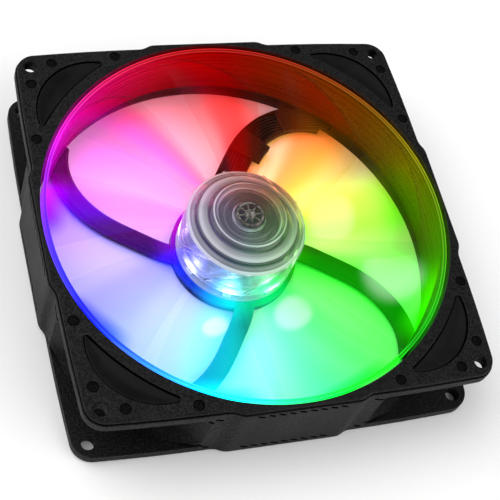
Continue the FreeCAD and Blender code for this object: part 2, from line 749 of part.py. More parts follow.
def shaft_bush():
    """Metal bush with a notched collar that locks it in the hub."""
    low, high = BUSH_COLLAR_Z
    body = disc(BUSH_RADIUS, YOKE_TOP - YOKE_PLATE, SHAFT_TOP)
    collar = disc(BUSH_COLLAR_RADIUS, low, high)
    notch = Part.makeCylinder(0.45, high - low, V(BUSH_COLLAR_RADIUS, 0, low))
    collar = collar.cut(Part.makeCompound(around(notch, BUSH_KNURLS)))
    return fuse([body, collar]).cut(disc(SHAFT_RADIUS, 0, DEPTH))


def hub():
    """Clear stepped cap: outer skirt, inner sleeve that grips the yoke, centre boss."""
    wall = 1.5
    sleeve = 1.2
    boss = 5.4
    shell = turned_profile([
        (0, YOKE_TOP), (boss, YOKE_TOP), (boss, 23.9), (11.0, 23.9), (YOKE_OUTER, 21.3),
        (YOKE_OUTER, 11.5), (YOKE_OUTER + sleeve, 11.5), (YOKE_OUTER + sleeve, 20.6),
        (HUB_RADIUS - wall, 20.2), (HUB_RADIUS - wall, HUB_BOTTOM), (HUB_RADIUS, HUB_BOTTOM),
        (HUB_RADIUS, HUB_SHOULDER), (HUB_RADIUS - 0.6, HUB_SHOULDER + 0.6), (17.7, 23.2), (17.3, 24.3),
        (13.9, 25.2), (13.4, 26.2), (12.2, HUB_TOP), (11.2, HUB_TOP), (10.8, 25.9), (5.7, 25.5),
        (5.2, 26.6), (4.4, 26.9), (0, 26.9)])
    return shell.cut(disc(SHAFT_RADIUS, 0, SHAFT_TOP)).cut(shaft_bush())


def blade_section(station):
    """Cambered section in a plane of constant X; the leading edge is the high +Y end."""
    x, chord, pitch, camber, sweep, mid_z = station
    a = math.radians(pitch)

    def place(s, n):
        return V(x, sweep + s * math.cos(a) - n * math.sin(a), mid_z + s * math.sin(a) + n * math.cos(a))

    half = chord / 2
    edge = BLADE_EDGE / 2
    thick = BLADE_THICKNESS / 2
    tail_top, head_top = place(-half, edge), place(half, edge)
    tail_low, head_low = place(-half, -edge), place(half, -edge)
    return Part.Wire([
        arc(tail_top, place(0, camber + thick), head_top), Part.makeLine(head_top, head_low),
        arc(head_low, place(0, camber - thick), tail_low), Part.makeLine(tail_low, tail_top)])


def blade():
    loft = Part.makeLoft([blade_section(s) for s in BLADE_STATIONS], True, False)
    limits = ring(HUB_RADIUS - 0.9, RING_INNER + 0.5, 0, DEPTH)
    return loft.common(limits)


def tip_ring():
    """Thin hoop with a slightly thicker bead at both ends."""
    bead = 1.2
    return turned_profile([
        (RING_INNER, RING_BOTTOM), (RING_OUTER, RING_BOTTOM), (RING_OUTER, RING_BOTTOM + bead),
        (RING_OUTER - RING_LIP, RING_BOTTOM + 2 * bead), (RING_OUTER - RING_LIP, RING_TOP - 2 * bead),
        (RING_OUTER, RING_TOP - bead), (RING_OUTER, RING_TOP), (RING_INNER, RING_TOP)])


def impeller():
    return fuse([hub(), tip_ring()] + around(blade(), BLADE_COUNT))


# ---- Output ---------------------------------------------------------------------------------
def main():
    os.makedirs("parts", exist_ok=True)
    shapes = {
        "frame": frame(),
        "bearing_tube": bearing_tube(),
        "sleeve_bearing": sleeve_bearing(),
        "oil_seal": oil_seal(),
        "thrust_plate": thrust_plate(),
        "retaining_ring": retaining_ring(),
        "shaft": shaft(),
        "stator_core": stator_core(),
        "lower_insulator": lower_insulator(),
        "upper_insulator": upper_insulator(),
        "motor_board": motor_board(),
        "hall_sensor": hall_sensor(),
        "driver_chip": driver_chip(),
        "capacitors": capacitors(),
        "led_board": led_board(),
        "leds": leds(),
        "motor_leads": leads(LED_LEAD_COUNT, MOTOR_LEAD_COUNT, 14.5),
        "led_leads": leads(0, LED_LEAD_COUNT, 18.0),
        "lead_socket": lead_socket(),
        "socket_pins": socket_pins(),
        "rear_label": rear_label(),
        "magnet_ring": magnet_ring(),
        "rotor_yoke": rotor_yoke(),
        "shaft_bush": shaft_bush(),
        "impeller": impeller(),
    }
    for number, (front, rear) in enumerate(zip(around(front_pad(), 4), around(rear_pad(), 4)), 1):
        shapes["front_pad_%d" % number] = front
        shapes["rear_pad_%d" % number] = rear
    for number, winding in enumerate(around(coil(), 4), 1):
        shapes["coil_%d" % number] = winding
    for name, shape in shapes.items():
        save(name, shape)


main()
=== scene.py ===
import colorsys
import json
import math
import random

import bmesh
import bpy
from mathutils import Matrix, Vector

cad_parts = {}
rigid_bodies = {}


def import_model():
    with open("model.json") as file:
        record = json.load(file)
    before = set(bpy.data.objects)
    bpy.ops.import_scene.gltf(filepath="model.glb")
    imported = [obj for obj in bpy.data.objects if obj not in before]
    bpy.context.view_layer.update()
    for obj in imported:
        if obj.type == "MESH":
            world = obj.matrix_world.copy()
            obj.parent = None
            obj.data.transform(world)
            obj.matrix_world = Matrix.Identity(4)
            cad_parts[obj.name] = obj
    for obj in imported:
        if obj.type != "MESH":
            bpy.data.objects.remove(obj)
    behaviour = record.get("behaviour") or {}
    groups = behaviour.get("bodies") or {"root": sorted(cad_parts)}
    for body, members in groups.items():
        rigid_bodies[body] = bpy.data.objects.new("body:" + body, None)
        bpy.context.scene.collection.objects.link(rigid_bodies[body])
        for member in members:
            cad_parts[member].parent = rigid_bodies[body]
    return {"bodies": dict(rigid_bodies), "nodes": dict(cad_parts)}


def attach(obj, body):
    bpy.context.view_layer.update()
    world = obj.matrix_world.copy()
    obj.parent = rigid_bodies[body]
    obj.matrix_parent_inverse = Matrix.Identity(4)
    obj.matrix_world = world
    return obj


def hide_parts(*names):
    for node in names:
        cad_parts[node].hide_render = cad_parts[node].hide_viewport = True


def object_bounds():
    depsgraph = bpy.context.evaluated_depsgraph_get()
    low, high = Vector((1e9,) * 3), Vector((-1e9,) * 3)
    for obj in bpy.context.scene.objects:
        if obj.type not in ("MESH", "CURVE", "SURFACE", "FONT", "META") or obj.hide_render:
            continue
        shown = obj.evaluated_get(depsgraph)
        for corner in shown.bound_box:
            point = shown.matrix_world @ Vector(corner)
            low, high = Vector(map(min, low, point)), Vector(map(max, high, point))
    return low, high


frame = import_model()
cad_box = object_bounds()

# Case fan lying on its rear face. Metres; +Z is the rotor axis and points to the intake face.
MM = 0.001
NODES = frame["nodes"]
HOUSING = frame["bodies"]["housing"]

# ---- Sizes shared with the CAD part, in millimetres -----------------------------------------
DEPTH = round((cad_box[1].z - cad_box[0].z) / MM, 2)
PAD_INNER_RADIUS = 72.6
PAD_ARC_CENTRE = 59.7
PAD_ARC_RADIUS = 20.9
PAD_POCKET_DEPTH = 2.2
HUB_RADIUS = 20.3
HUB_BOTTOM = 8.8
HUB_SHOULDER = 21.9
RING_INNER = 66.4
RING_OUTER = 67.6
RING_TOP = 28.2
STRUT_END = 66.5            # the struts run into the duct wall between these two radii
DUCT_RADIUS = 68.0
FLARE_EDGE = 71.8           # outer edge of the intake flare
FLARE_START = 22.0          # height at which it starts
LED_COUNT = 8
LED_FIRST_ANGLE = 22.5
LED_TOP = 6.4
BLADE_COUNT = 9
BLADE_START = -5.5          # direction of a blade's middle line: degrees at the axis, and per mm outwards
BLADE_SWEEP = 0.205
BOSS_RADIUS = 5.3

# ---- Light of the ring of LEDs --------------------------------------------------------------
DIM_ANGLE = 25.0            # direction in which the glow is weakest, in degrees from +X
TIP_DIM_ANGLE = 65.0        # direction in which the tips of the blades hardly glow
WHEEL_START = 78.0          # hue at +X, in degrees on the colour wheel
RING_BEND = (13.0, -60.0)   # unevenness of the wheel: degrees of hue, and where it is strongest
DISC_BEND = (-5.0, 18.0)
SCREEN_GAMMA = 2.2
TINT_ANGLE = 5.0            # direction in which the blades tint the light most


# ---- Material graph helper ------------------------------------------------------------------
class Graph:
    """Node tree of one material. Inputs may be sockets or plain values."""

    def __init__(self, name):
        self.material = bpy.data.materials.new(name)
        self.material.use_nodes = True
        self.tree = self.material.node_tree
        self.tree.nodes.clear()

    def node(self, kind, inputs=(), **settings):
        made = self.tree.nodes.new("ShaderNode" + kind)
        for key, value in settings.items():
            setattr(made, key, value)
        for key, value in dict(inputs).items():
            self.feed(made.inputs[key], value)
        return made

    def feed(self, socket, value):
        if isinstance(value, bpy.types.NodeSocket):
            self.tree.links.new(value, socket)
        else:
            socket.default_value = value

    def math(self, operation, a, b=0.0, c=0.0):
        return self.node("Math", {0: a, 1: b, 2: c}, operation=operation).outputs[0]

    def product(self, first, *others):
        for value in others:
            first = self.math("MULTIPLY", first, value)
        return first

    def remap(self, value, low, high, to_low=0.0, to_high=1.0, smooth=False):
        kind = "SMOOTHSTEP" if smooth else "LINEAR"
        inputs = {0: value, 1: low, 2: high, 3: to_low, 4: to_high}
        return self.node("MapRange", inputs, interpolation_type=kind, clamp=True).outputs[0]

    def mix(self, share, a, b, kind="MIX"):
        inputs = {0: share, 6: a, 7: b}
        return self.node("Mix", inputs, data_type="RGBA", blend_type=kind).outputs[2]

    def blend(self, share, a, b):
        """Plain numbers: a where share is 0, b where it is 1."""
        return self.node("Mix", {0: share, 2: a, 3: b}, data_type="FLOAT").outputs[0]

    def position(self):
        return self.node("TexCoord").outputs["Object"]

    def housing_position(self):
        """Coordinates that stay with the housing while the rotor turns."""
        return self.node("TexCoord", object=HOUSING).outputs["Object"]

    def split(self, vector):
        return self.node("SeparateXYZ", {0: vector}).outputs

    def scaled(self, vector, x, y, z):
        return self.node("VectorMath", {0: vector, 1: (x, y, z)}, operation="MULTIPLY").outputs[0]

    def axis_distance(self, vector):
        flat = self.scaled(vector, 1.0, 1.0, 0.0)
        return self.node("VectorMath", {0: flat}, operation="LENGTH").outputs["Value"]

    def noise(self, vector, scale, detail=2.0, rough=0.5):
        inputs = {"Vector": vector, "Scale": scale, "Detail": detail, "Roughness": rough}
        return self.node("TexNoise", inputs).outputs["Fac"]

    def cells(self, vector, scale):
        return self.node("TexVoronoi", {"Vector": vector, "Scale": scale}).outputs["Distance"]

    def bump(self, height, distance, strength=1.0, normal=None):
        inputs = {"Height": height, "Distance": distance, "Strength": strength}
        if normal is not None:
            inputs["Normal"] = normal
        return self.node("Bump", inputs).outputs[0]

    def edges(self, radius):
        """1 on sharp edges, 0 on faces."""
        soft = self.node("Bevel", {"Radius": radius}, samples=6).outputs[0]
        true = self.node("NewGeometry").outputs["True Normal"]
        dot = self.node("VectorMath", {0: soft, 1: true}, operation="DOT_PRODUCT").outputs["Value"]
        return self.remap(dot, 0.98, 0.75), soft

    def principled(self, **inputs):
        named = {key.replace("_", " ").title().replace("Ior", "IOR"): value for key, value in inputs.items()}
        return self.node("BsdfPrincipled", named).outputs[0]

    def emission(self, colour, strength):
        return self.node("Emission", {"Color": colour, "Strength": strength}).outputs[0]

    def layered(self, share, under, over):
        """Two surfaces: only the first where share is 0, only the second where it is 1."""
        return self.node("MixShader", {0: share, 1: under, 2: over}).outputs[0]

    def glowing(self, surface, light):
        return self.node("AddShader", {0: surface, 1: light}).outputs[0]

    def finish(self, shader):
        output = self.node("OutputMaterial")
        self.tree.links.new(shader, output.inputs["Surface"])
        return self.material


def rgb(red, green, blue):
    return (red, green, blue, 1.0)


# ---- Materials of the housing ---------------------------------------------------------------
def housing_plastic():
    """Near-black moulded plastic: spark-eroded grain, polished edges lightened further by a painted
    highlight, painted shade darkening and dulling the recesses, and painted light of the impeller on the
    duct.
    """
    g = Graph("housing_plastic")
    at = g.position()
    grain = g.noise(at, 1600.0, 3.0, 0.75)
    pits = g.cells(at, 1100.0)
    clouds = g.noise(at, 60.0, 4.0, 0.6)
    edge, soft = g.edges(0.0003)
    recess_shade_factor = painted_recess_shade(g, at)
    # edges lighter and a little smoother: partly wear, partly a painted highlight
    worn_and_highlit_edge = g.math("MULTIPLY", edge, g.remap(clouds, 0.35, 0.65, 0.35, 1.0))
    tone = g.mix(g.remap(grain, 0.42, 0.62), rgb(0.0005, 0.0005, 0.0005), rgb(0.012, 0.012, 0.0123))
    tone = g.mix(g.remap(clouds, 0.3, 0.7, 0.0, 0.6), tone, rgb(0.003, 0.003, 0.0031))
    tone = g.mix(g.math("MULTIPLY", worn_and_highlit_edge, 0.7), tone, rgb(0.06, 0.06, 0.061))
    # painted shade: the tone goes to black in grooves, corners and the floors of the round marks
    tone = g.mix(recess_shade_factor, rgb(0.0, 0.0, 0.0), tone)
    rough = g.math("SUBTRACT", g.remap(clouds, 0.2, 0.8, 0.48, 0.6), g.math("MULTIPLY", worn_and_highlit_edge, 0.12))
    height = g.math("ADD", g.math("MULTIPLY", grain, 0.9), g.math("MULTIPLY", pits, 0.6))
    grained = g.remap(g.axis_distance(at), (FLARE_EDGE - 0.6) * MM, (FLARE_EDGE + 0.2) * MM, 0.12, 1.0)
    normal = g.bump(height, 0.0002, grained, soft)
    sheen = g.math("MULTIPLY", recess_shade_factor, g.remap(grain, 0.42, 0.62, 0.1, 0.2))
    plastic = g.principled(base_color=tone, roughness=rough, normal=normal, specular_ior_level=sheen)
    # painted light: the housing glows in the impeller's colours on the duct and the struts
    return g.finish(g.glowing(plastic, painted_light_spill(g)))


def painted_recess_shade(g, at):
    """Painted shade: 1 on open faces, lower in grooves and corners and on the floors of the round shallow
    marks.
    """
    near = g.node("AmbientOcclusion", {"Distance": 0.0012}, samples=6).outputs["AO"]
    crevice = g.remap(near, 0.5, 0.92, 0.1, 1.0)
    height = g.math("DIVIDE", g.split(at)[2], MM)
    below = g.remap(height, DEPTH - 0.2, DEPTH - 0.25)
    above = g.remap(height, DEPTH - 0.4, DEPTH - 0.35)
    up = g.remap(g.split(g.node("NewGeometry").outputs["Normal"])[2], 0.8, 0.95)
    return g.product(crevice, g.remap(g.product(below, above, up), 0.0, 1.0, 1.0, 0.35))


def facing_axis(g):
    """1 on walls that face the axis, 0 on faces that don't."""
    normal = g.node("NewGeometry").outputs["Normal"]
    flat = g.scaled(g.position(), 1.0, 1.0, 0.0)
    radial = g.node("VectorMath", {0: flat}, operation="NORMALIZE").outputs[0]
    outward = g.node("VectorMath", {0: normal, 1: radial}, operation="DOT_PRODUCT").outputs["Value"]
    return g.remap(outward, -0.15, -0.7)


def painted_wall_streaks(g, polar):
    """Streaks of painted light that run round the duct wall."""
    stretched = g.node("CombineXYZ", {0: g.product(polar.angle, 0.006), 1: polar.z}).outputs[0]
    return g.remap(g.noise(stretched, 0.9, 3.0, 0.65), 0.35, 0.65, 0.5, 1.6)


def painted_light_spill(g):
    """Painted light: the housing glows in the colour that the lit impeller throws on the duct wall, the
    intake flare and the struts.
    """
    polar = Polar(g)
    wall = g.product(
        facing_axis(g),
        g.remap(polar.radius, STRUT_END, DUCT_RADIUS),
        g.remap(polar.radius, FLARE_EDGE - 0.5, FLARE_EDGE, 1.0, 0.0),
        g.remap(polar.z, FLARE_START, DEPTH, 1.0, 0.35),
        g.remap(polar.z, 4.0, 12.0, 0.6, 1.0),
        painted_wall_streaks(g, polar))
    strut = g.product(
        g.remap(polar.radius, STRUT_END, DUCT_RADIUS, 1.0, 0.0),
        g.remap(polar.z, 1.0, 3.5),
        g.remap(polar.radius, HUB_RADIUS + 0.2, 30.0, 4.0, 1.0, smooth=True))
    power = g.product(around_fan(g, polar.angle, 0.10, 0.082), g.math("ADD", wall, strut))
    return g.emission(glow_colour(g, polar.angle, RING_BEND), power)


def pad_rubber():
    """Soft black elastomer: smoother and a little darker than the housing, with a dusty bloom."""
    g = Graph("pad_rubber")
    at = g.position()
    bloom = g.noise(at, 90.0, 5.0, 0.6)
    skin = g.noise(at, 4200.0, 2.0, 0.5)
    lines = g.noise(g.scaled(at, 1.0, 1.0, 5.0), 700.0, 3.0, 0.6)
    tone = g.mix(g.remap(bloom, 0.35, 0.7), rgb(0.0015, 0.0015, 0.0016), rgb(0.005, 0.0051, 0.0052))
    rough = g.remap(bloom, 0.3, 0.7, 0.42, 0.6)
    height = g.math("ADD", g.math("MULTIPLY", skin, 0.4), lines)
    normal = g.bump(height, 0.00002, 0.6)
    return g.finish(g.principled(base_color=tone, roughness=rough, normal=normal, specular_ior_level=0.1))


# ---- The lit impeller -----------------------------------------------------------------------
def direction(g, x, y):
    return g.product(g.math("ARCTAN2", y, x), 180.0 / math.pi)


class Polar:
    """Cylinder coordinates in mm and degrees: on the housing (where the lights are) and on the rotor."""

    def __init__(self, g):
        x, y, self.z = g.split(g.scaled(g.housing_position(), 1 / MM, 1 / MM, 1 / MM))
        self.radius = g.math("SQRT", g.math("ADD", g.product(x, x), g.product(y, y)))
        self.angle = direction(g, x, y)
        own_x, own_y = g.split(g.position())[:2]
        self.own_angle = direction(g, own_x, own_y)


def cosine(g, angle, toward, times=1.0):
    """cos(times * (angle - toward)), with the angles in degrees."""
    turn = g.product(g.math("SUBTRACT", angle, toward), times * math.pi / 180.0)
    return g.math("COSINE", turn)


def swinging(g, angle, toward, middle, swing, times=1.0):
    """A value that swings round the given middle, highest in the given direction."""
    return g.math("MULTIPLY_ADD", cosine(g, angle, toward, times), swing, middle)


def around_fan(g, angle, middle, swing):
    """A value that is lowest at DIM_ANGLE and highest on the opposite side."""
    return swinging(g, angle, DIM_ANGLE, middle, -swing)


def glow_colour(g, angle, wheel_bend):
    """Colour wheel of the lights: red at +Y, going round through yellow at +X."""
    size, toward = wheel_bend
    bend = g.product(cosine(g, angle, toward), size)
    turned_hue = g.math("SUBTRACT", g.math("SUBTRACT", 360.0 + WHEEL_START, angle), bend)
    hue = g.math("FRACT", g.math("DIVIDE", turned_hue, 360.0))
    wheel = g.node("CombineColor", {0: hue, 1: 1.0, 2: 1.0}, mode="HSV").outputs[0]
    return g.node("Gamma", {"Color": wheel, "Gamma": SCREEN_GAMMA}).outputs[0]


class Impeller:
    """Regions of the impeller as shares from 0 to 1, and the patterns that lie on them."""

    def __init__(self, g):
        self.polar = Polar(g)
        radius = self.polar.radius
        self.hub = g.remap(radius, HUB_RADIUS - 0.1, HUB_RADIUS + 0.5, 1.0, 0.0)
        self.skirt = g.remap(radius, HUB_RADIUS - 0.3, HUB_RADIUS - 0.1)
        self.hub_top = g.remap(self.polar.z, HUB_SHOULDER - 0.2, HUB_SHOULDER + 0.1)
        self.hoop = g.remap(radius, RING_INNER - 0.4, RING_INNER)
        self.lip = g.remap(self.polar.z, RING_TOP - 0.6, RING_TOP - 0.1)
        self.middle = blade_middle(g, self.polar)
        self.bright_tips = bright_tips(g, self.polar, self.middle)
        self.dim_tips = dim_tips(g, self.polar)
        self.rings = hub_rings(g, self.polar)


def blade_middle(g, polar):
    """1 along the middle of each blade, 0 half way between two blades."""
    centre = g.math("MULTIPLY_ADD", polar.radius, BLADE_SWEEP, BLADE_START)
    wave = cosine(g, g.math("SUBTRACT", polar.own_angle, centre), 0.0, BLADE_COUNT)
    return g.remap(wave, -0.9, 0.9, smooth=True)


def bright_tips(g, polar, middle):
    """1 on the tips of the blades on the bright side of the fan."""
    bright = g.remap(cosine(g, polar.angle, TIP_DIM_ANGLE), -0.3, 0.4, 1.0, 0.0, smooth=True)
    outer = g.remap(polar.radius, 57.0, RING_INNER, smooth=True)
    return g.product(outer, bright, middle)


def dim_tips(g, polar):
    """1 on the tips of the blades on the dim side, which glow little and tint more."""
    dim = g.remap(cosine(g, polar.angle, TIP_DIM_ANGLE), 0.0, 0.5, smooth=True)
    return g.product(dim, g.remap(polar.radius, 48.0, 58.0, smooth=True))


def hub_rings(g, polar):
    """Fine turning lines: rings round slightly different centres on the top, level lines on the skirt."""
    drift = g.product(cosine(g, polar.own_angle, 40.0), 0.3)
    wander = g.product(drift, g.remap(polar.radius, 10.0, 11.0, 1.6, 0.2))
    radius = g.math("ADD", polar.radius, wander)
    line = g.node("CombineXYZ", {0: radius, 1: polar.z, 2: drift}).outputs[0]
    coarse = g.noise(line, 1.1, 2.0, 0.6)
    fine = g.noise(line, 5.0, 2.0, 0.6)
    return g.math("ADD", g.product(coarse, 0.4), g.product(fine, 0.6))


def radial_steps(g, radius, steps):
    """Value by distance from the axis in mm, straight lines between the given (radius, value) pairs."""
    scale = HUB_RADIUS + 1.0
    ramp = g.node("ValToRGB", {0: g.math("DIVIDE", radius, scale)})
    elements = ramp.color_ramp.elements
    for place, value in steps[1:-1]:
        elements.new(place / scale)
    for element, (place, value) in zip(elements, steps):
        element.position = place / scale
        element.color = rgb(value, value, value)
    return ramp.outputs[0]


# frosting of the hub's stepped top: (radius in mm, share of frosted surface)
HUB_FROST = ((0.0, 0.03), (5.2, 0.03), (5.5, 0.6), (5.9, 0.08), (10.5, 0.14), (10.8, 0.95), (11.2, 0.12),
             (11.9, 0.2), (12.2, 0.95), (12.6, 0.1), (13.6, 0.06), (14.2, 0.3), (16.6, 0.75), (16.9, 0.08),
             (17.7, 0.05), (18.2, 0.3), (19.2, 0.2), (19.45, 0.95), (20.3, 0.95))


def hub_frost(g, parts):
    """Share of frosted surface on the hub: stepped on the top, growing downwards on the skirt; on the top it
    also swings round the axis in lobes, a painted highlight.
    """
    polar = parts.polar
    # painted highlight: the top's frosting, and so its brightness, rises and falls round the axis
    highlight_lobes = swinging(g, polar.angle, -60.0, 0.85, 0.2, times=2.0)
    highlight_lobes = swinging(g, polar.angle, -140.0, highlight_lobes, 0.35)
    inner = g.remap(polar.radius, 12.4, 12.8, 1.0, 0.0)
    fine = g.blend(inner, g.remap(parts.rings, 0.4, 0.6, 0.8, 1.2), g.remap(parts.rings, 0.4, 0.6, 0.3, 1.7))
    top = g.product(radial_steps(g, polar.radius, HUB_FROST), highlight_lobes, fine)
    skirt = g.product(
        g.remap(polar.z, HUB_BOTTOM, HUB_SHOULDER, 0.5, 0.4),
        g.remap(parts.rings, 0.4, 0.6, 0.2, 1.5),
        g.blend(parts.skirt, 0.12, 1.0))
    return g.product(parts.hub, g.blend(parts.hub_top, skirt, top))


def blade_glow(g, parts):
    """Strength of the coloured glow on the blades: strongest in the middle and at the bright tips."""
    taper = g.remap(parts.middle, 0.0, 1.0, 0.2, 1.25)
    tips = g.math("MULTIPLY_ADD", parts.bright_tips, 2.5, 1.0)
    power = around_fan(g, parts.polar.angle, 0.15, 0.11)
    return g.product(power, taper, tips, g.blend(parts.dim_tips, 1.0, 0.3))


def hoop_glow(g, parts):
    """Strength of the glow on the hoop, with streaks on its wall and two bright lines on its front lip."""
    polar = parts.polar
    wall = g.product(
        around_fan(g, polar.angle, 0.13, 0.11),
        g.remap(polar.z, 9.0, 24.0, 0.7, 1.3),
        g.remap(parts.rings, 0.38, 0.62, 0.2, 2.0))
    from_middle = g.math("ABSOLUTE", g.math("SUBTRACT", polar.radius, (RING_INNER + RING_OUTER) / 2))
    lip = g.product(around_fan(g, polar.angle, 0.42, 0.26), g.remap(from_middle, 0.15, 0.5, 0.4, 1.5))
    return g.blend(parts.lip, wall, lip)


def skirt_glow(g, parts):
    """Streaks of light low on the outside of the hub skirt."""
    low = g.remap(parts.polar.z, HUB_BOTTOM, HUB_BOTTOM + 10.0, 1.0, 0.0, smooth=True)
    streaks = g.remap(parts.rings, 0.38, 0.62, 0.1, 1.2)
    return g.product(low, parts.skirt, streaks, parts.hub)


def led_spots(g, parts):
    """Hot spots low on the outside of the hub skirt, smeared sideways, one above each light."""
    beat = swinging(g, parts.polar.angle, LED_FIRST_ANGLE, 0.5, 0.5, times=LED_COUNT)
    low = g.remap(parts.polar.z, HUB_BOTTOM, HUB_BOTTOM + 5.0, 1.0, 0.0, smooth=True)
    return g.product(g.math("POWER", beat, 3.0), low, parts.skirt, parts.hub)


# painted glints of the lights on the spinning blades: radius and size in mm, degrees, strength
GLINTS = ((31.5, 11.0, 1.0, 0.2), (51.0, 13.0, -26.0, 0.25), (34.5, 7.0, -76.0, 0.22),
          (40.0, 4.5, -118.0, 0.2))


def blade_glints(g, parts):
    """Painted glints: soft-edged pale patches of glow on the blades, at fixed places of the fan."""
    at = g.scaled(g.housing_position(), 1 / MM, 1 / MM, 0.0)
    total = 0.0
    for radius, size, degrees, strength in GLINTS:
        centre = turned((radius, 0.0, 0.0), degrees)
        away = g.node("VectorMath", {0: at, 1: centre}, operation="DISTANCE").outputs["Value"]
        patch = g.remap(away, size, size * 0.45, 0.0, strength, smooth=True)
        total = g.math("ADD", patch, total)
    blades = g.math("SUBTRACT", 1.0, g.math("MAXIMUM", parts.hub, parts.hoop))
    return g.product(total, blades, parts.middle)


def impeller_light(g, parts, colour, edge):
    """Light given off by the impeller: coloured on blades and hoop, paler on the hub and its hot spots."""
    spots = led_spots(g, parts)
    glints = blade_glints(g, parts)
    painted_hub_edge_highlight = g.product(edge, parts.hub)
    power = g.blend(parts.hoop, blade_glow(g, parts), hoop_glow(g, parts))
    power = g.blend(parts.hub, power, 0.02)
    power = g.math("MULTIPLY_ADD", skirt_glow(g, parts), 0.4, power)
    # painted highlight: glow along the hub's sharp edges, strongest on the bright side
    power = g.math("MULTIPLY_ADD", painted_hub_edge_highlight, around_fan(g, parts.polar.angle, 0.35, 0.25), power)
    power = g.math("ADD", power, glints)
    power = g.math("MULTIPLY_ADD", spots, 6.0, power)
    pale = g.math("MAXIMUM", g.product(spots, 0.7), g.product(parts.hub, 0.5))
    pale = g.math("MAXIMUM", pale, g.remap(glints, 0.0, 0.1, 0.0, 0.5))
    pale = g.math("MAXIMUM", pale, g.product(parts.hoop, parts.lip, 0.05))
    return g.emission(g.mix(pale, colour, rgb(1, 1, 1)), power)


def blade_tint(g, parts, passing):
    """How much the blades and the hoop colour the light that passes through them.

    The light that goes on to the surface behind is coloured much more than the view through a blade.
    """
    polar = parts.polar
    seen = g.product(
        swinging(g, polar.angle, TINT_ANGLE, 0.27, 0.18),
        g.remap(parts.middle, 0.0, 1.0, 0.15, 1.15),
        g.blend(parts.dim_tips, 1.0, 1.5))
    seen = g.math("MAXIMUM", seen, g.product(parts.bright_tips, 0.8))
    seen = g.blend(parts.hoop, seen, g.remap(polar.z, RING_TOP - 1.2, RING_TOP - 0.4, 0.5, 0.9))
    thrown = g.product(
        swinging(g, polar.angle, TINT_ANGLE, 0.54, 0.26),
        g.remap(polar.radius, 46.0, 62.0, 1.0, 1.25, smooth=True))
    return g.product(g.blend(passing, seen, thrown), g.math("SUBTRACT", 1.0, parts.hub))


def hub_smoke(g, parts, colour):
    """Smoky colour of the light that passes through the hub, darkest in the boss, with a little of the
    lights' colour painted in as painted light.
    """
    smoke = g.mix(parts.hub_top, rgb(0.93, 0.93, 0.92), rgb(0.5, 0.44, 0.4))
    smoke = g.mix(g.remap(parts.rings, 0.4, 0.65, 0.0, 0.5), smoke, rgb(0.36, 0.32, 0.3))
    # painted light: a little of the lights' colour mixed into the smoke
    smoke = g.mix(0.15, smoke, colour)
    boss = g.product(g.remap(parts.polar.radius, BOSS_RADIUS, BOSS_RADIUS - 0.3), parts.hub_top)
    return g.mix(boss, smoke, rgb(0.1, 0.08, 0.07))


def passing_colour(g, parts, colour):
    """Colour of light that passes through; light thrown on the floor is also dimmed a little."""
    passing = g.node("LightPath").outputs["Is Shadow Ray"]
    clear = g.mix(parts.hub, rgb(0.98, 0.98, 0.98), hub_smoke(g, parts, colour))
    tinted = g.mix(blade_tint(g, parts, passing), clear, colour)
    dim = swinging(g, parts.polar.angle, TINT_ANGLE, 0.86, -0.12)
    grey = g.node("CombineColor", {0: dim, 1: dim, 2: dim}).outputs[0]
    return g.mix(passing, tinted, g.mix(1.0, tinted, grey, "MULTIPLY"))


def frosted_plastic(g, parts, colour):
    """Milky surface of the hub, partly lit from behind; on the bright side the lights' colour is painted
    into its milky colour as painted light.
    """
    # painted light: share of the lights' colour in the milky colour, largest on the bright side
    lit = swinging(g, parts.polar.angle, DIM_ANGLE, 0.26, 0.17)
    milky = g.mix(lit, rgb(0.95, 0.92, 0.9), colour)
    behind = g.node("BsdfTranslucent", {"Color": milky}).outputs[0]
    front = g.node("BsdfDiffuse", {"Color": milky}).outputs[0]
    return g.layered(0.65, behind, front)


def impeller_plastic():
    """Clear moulded plastic that carries the light of the hub ring out to the blades and the hoop."""
    g = Graph("impeller_plastic")
    parts = Impeller(g)
    polar = parts.polar
    disc_colour = glow_colour(g, polar.angle, DISC_BEND)
    ring_colour = glow_colour(g, polar.angle, RING_BEND)
    colour = g.mix(g.remap(polar.radius, 58.0, RING_INNER), disc_colour, ring_colour)
    edge, soft = g.edges(0.0003)
    clear = g.node("BsdfTransparent", {0: passing_colour(g, parts, colour)}).outputs[0]
    body = g.layered(hub_frost(g, parts), clear, frosted_plastic(g, parts, colour))

    normal = g.bump(g.product(parts.rings, parts.hub), 0.0001, 0.6, soft)
    fresnel = g.node("Fresnel", {"IOR": 1.45, "Normal": normal}).outputs[0]
    shine = g.product(fresnel, g.blend(parts.hub, g.blend(parts.hoop, 0.015, 0.03), 1.0))
    rough = g.blend(parts.hub, 0.3, 0.1)
    gloss = g.node("BsdfGlossy", {"Roughness": rough, "Normal": normal}).outputs[0]
    return g.finish(g.glowing(g.layered(shine, body, gloss), impeller_light(g, parts, colour, edge)))


# ---- Motor materials ------------------------------------------------------------------------
def metal(name, colour, rough, scale=(1.0, 1.0, 1.0)):
    """Machined metal with fine tool marks stretched along the given axes."""
    g = Graph(name)
    at = g.position()
    marks = g.noise(g.scaled(at, *scale), 2500.0, 3.0, 0.6)
    stains = g.noise(at, 120.0, 4.0, 0.6)
    dark = tuple(c * 0.6 for c in colour[:3]) + (1.0,)
    tone = g.mix(g.remap(stains, 0.45, 0.8, 0.0, 0.7), colour, dark)
    roughness = g.remap(marks, 0.2, 0.8, rough * 0.75, rough * 1.35)
    normal = g.bump(marks, 0.00001, 0.5)
    return g.finish(g.principled(base_color=tone, roughness=roughness, metallic=1.0, normal=normal))


